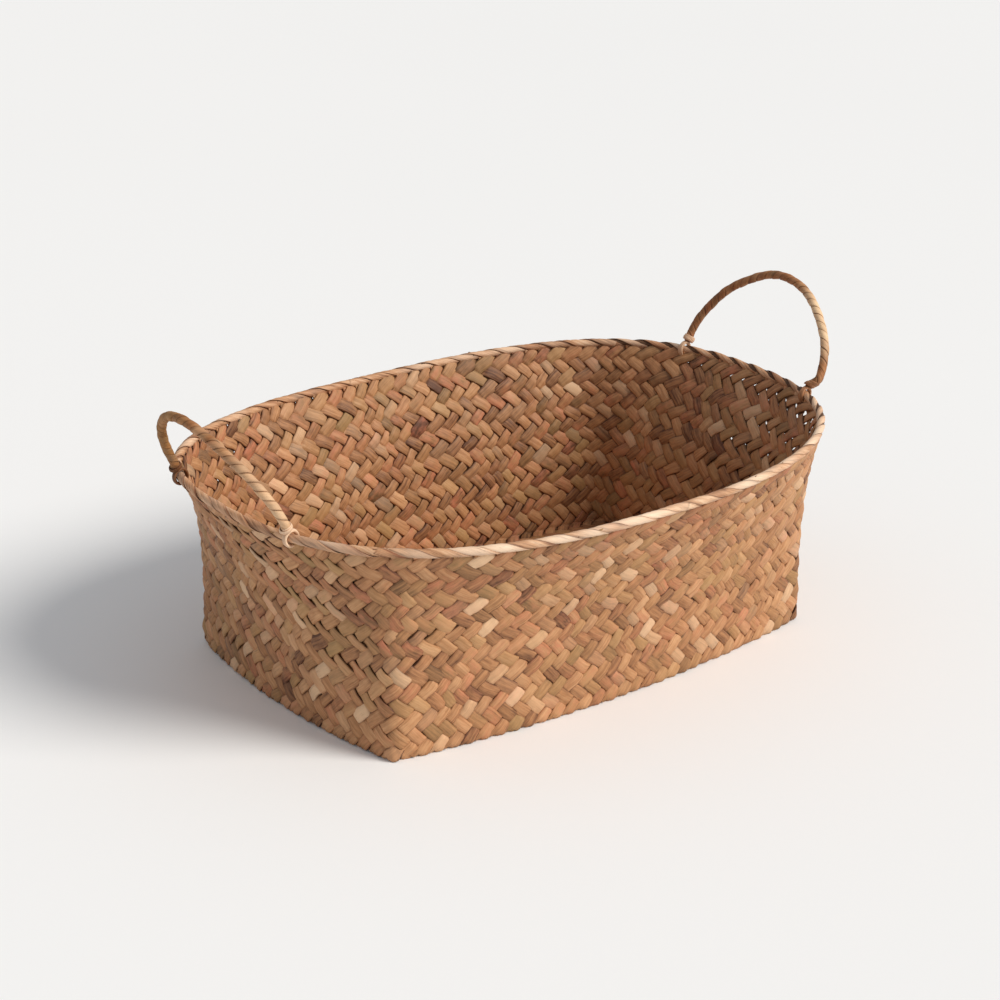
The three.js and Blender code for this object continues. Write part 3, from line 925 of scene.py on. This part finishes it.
# ---------------------------------------------------------------- stage, light, camera
def stage_floor():
    material = bpy.data.materials.new("pale_floor")
    material.use_nodes = True
    tree = material.node_tree
    shader = tree.nodes["Principled BSDF"]
    shader.inputs["Roughness"].default_value = 0.9
    noise = node(tree, "ShaderNodeTexNoise")
    noise.inputs["Scale"].default_value = 9.0
    colour = mix_colour(tree, noise.outputs["Fac"], (0.86, 0.86, 0.86), (0.9, 0.9, 0.9))
    tree.links.new(colour, shader.inputs["Base Color"])
    size = FLOOR_HALF_SIZE
    mesh = bpy.data.meshes.new("floor")
    corners = [(-size, -size, 0), (size, -size, 0), (size, size, 0), (-size, size, 0)]
    mesh.from_pydata(corners, [], [(0, 1, 2, 3)])
    mesh.materials.append(material)
    obj = bpy.data.objects.new("floor", mesh)
    bpy.context.scene.collection.objects.link(obj)


def sun_light(name, position, strength, softness, colour):
    """A broad soft lamp as far away as the sun, so the floor is evenly lit; degrees across."""
    data = bpy.data.lights.new(name, "SUN")
    data.angle = math.radians(softness)
    data.energy = strength
    data.color = colour
    obj = bpy.data.objects.new(name, data)
    obj.rotation_euler = (-Vector(position)).to_track_quat("-Z", "Y").to_euler()
    bpy.context.scene.collection.objects.link(obj)


def lights():
    world = bpy.data.worlds.new("studio")
    bpy.context.scene.world = world
    world.use_nodes = True
    background = world.node_tree.nodes["Background"]
    background.inputs["Color"].default_value = (0.93, 0.96, 1.0, 1.0)
    background.inputs["Strength"].default_value = 0.47
    sun_light(
        "key", position=(0.85, -1.25, 1.25), strength=2.9, softness=28.0, colour=(1.0, 0.96, 0.90)
    )


def camera():
    angles = (CAMERA_AZIMUTH, CAMERA_ELEVATION, CAMERA_TILT)
    azimuth, elevation, tilt = (math.radians(v) for v in angles)
    back = np.array([
        math.sin(azimuth) * math.cos(elevation),
        -math.cos(azimuth) * math.cos(elevation),
        math.sin(elevation),
    ])
    right = np.array([math.cos(azimuth), math.sin(azimuth), 0.0])
    up = np.cross(back, right)
    right, up = (
        math.cos(tilt) * right + math.sin(tilt) * up,
        -math.sin(tilt) * right + math.cos(tilt) * up,
    )
    data = bpy.data.cameras.new("camera")
    data.sensor_width = SENSOR_WIDTH
    data.lens = FOCAL_LENGTH
    obj = bpy.data.objects.new("camera", data)
    place_at = np.array(CAMERA_AIM) + back * CAMERA_DISTANCE
    obj.matrix_world = Matrix([
        [right[0], up[0], back[0], place_at[0]],
        [right[1], up[1], back[1], place_at[1]],
        [right[2], up[2], back[2], place_at[2]],
        [0, 0, 0, 1],
    ])
    bpy.context.scene.collection.objects.link(obj)
    bpy.context.scene.camera = obj


stage_floor()
lights()
camera()
bpy.context.scene.view_settings.view_transform = "Standard"
